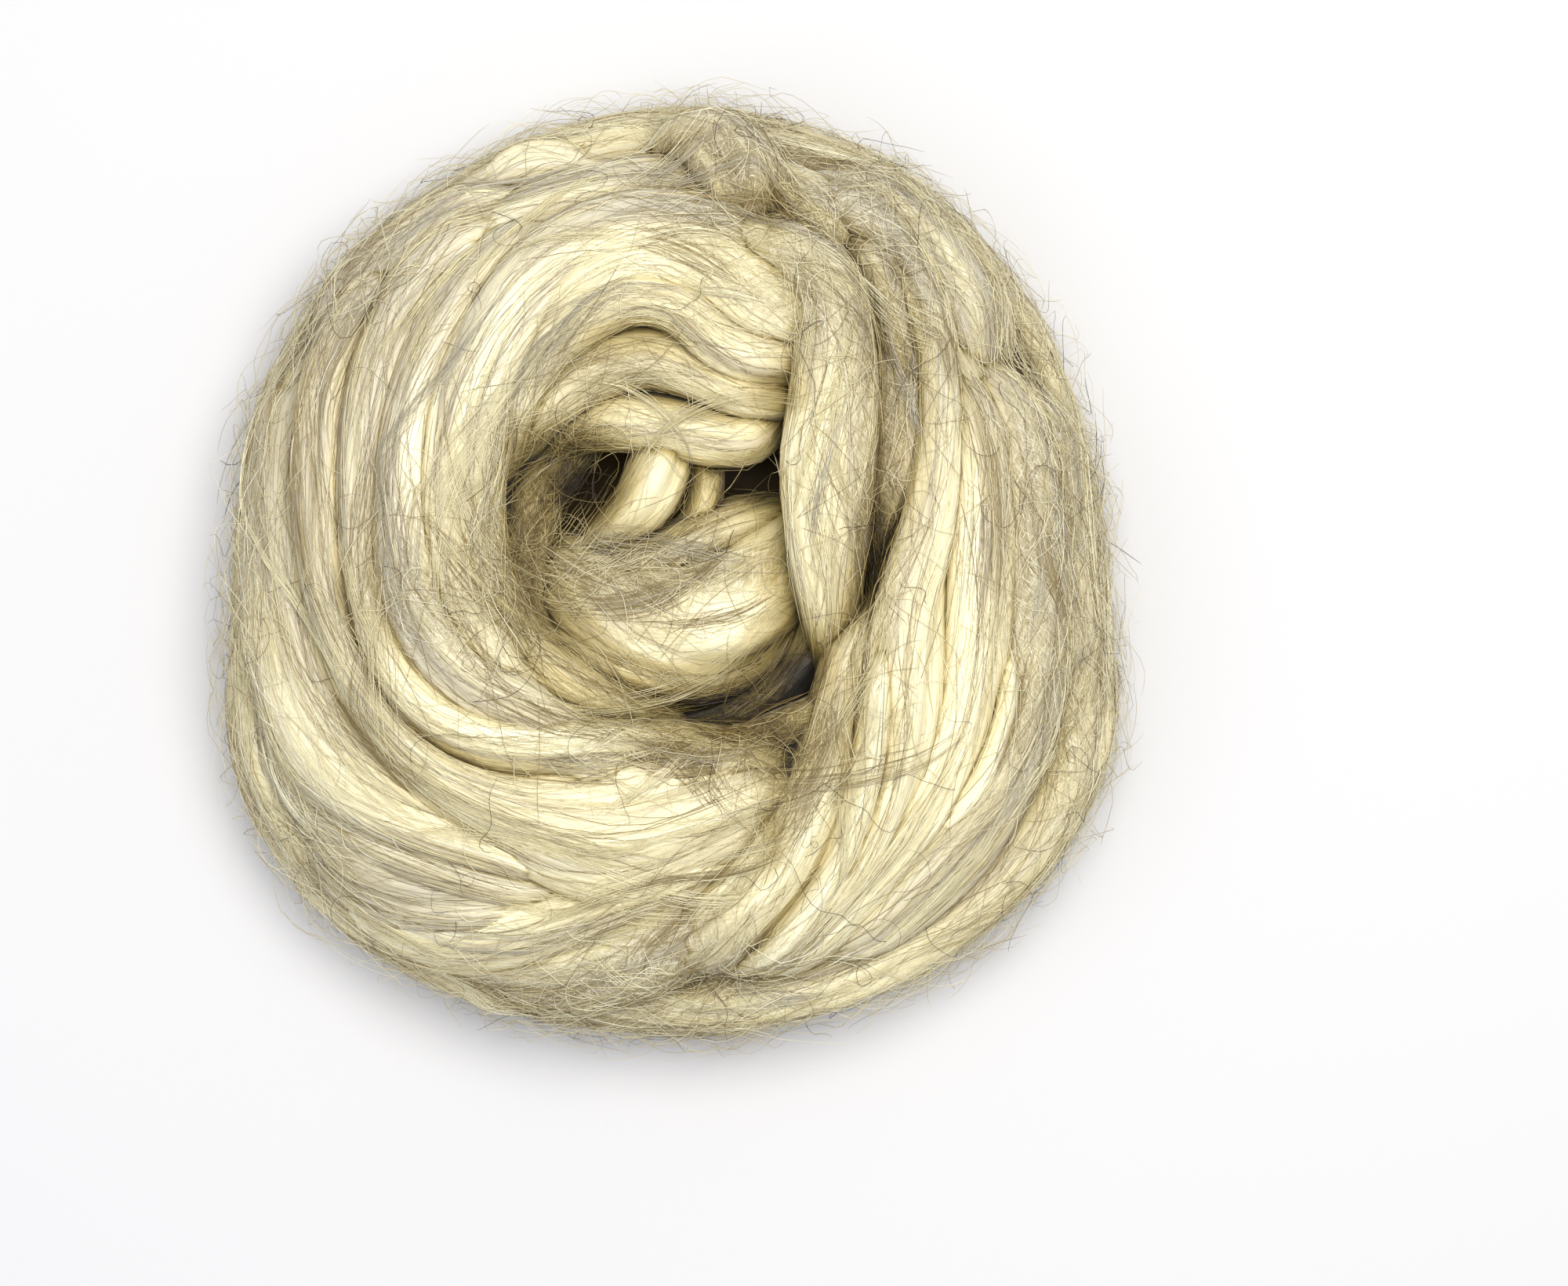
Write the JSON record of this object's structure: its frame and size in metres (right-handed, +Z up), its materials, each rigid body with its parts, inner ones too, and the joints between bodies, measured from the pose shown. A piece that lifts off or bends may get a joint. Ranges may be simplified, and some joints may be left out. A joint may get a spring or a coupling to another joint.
{
  "type": "wool roving nest",
  "caption": "Nest of loose combed wool roving: one thick untwisted strand wound round a folded middle, silky cream with tan and grey fibres.",
  "frame": {"origin": "on the surface that the nest lies on, under the middle of its outline", "axes": "+Z up out of the surface, +X to the side with the long turns that cross over the rest, +Y to the end with the tucked tuft"},
  "size_m": [0.2296, 0.2385, 0.0747],
  "materials": {
    "combed_fibre": "combed loose fibre with a silky sheen along the strand, cream-yellow, streaked with tan and grey"
  },
  "bodies": {
    "root": {"roving": "combed_fibre"}
  },
  "joints": []
}
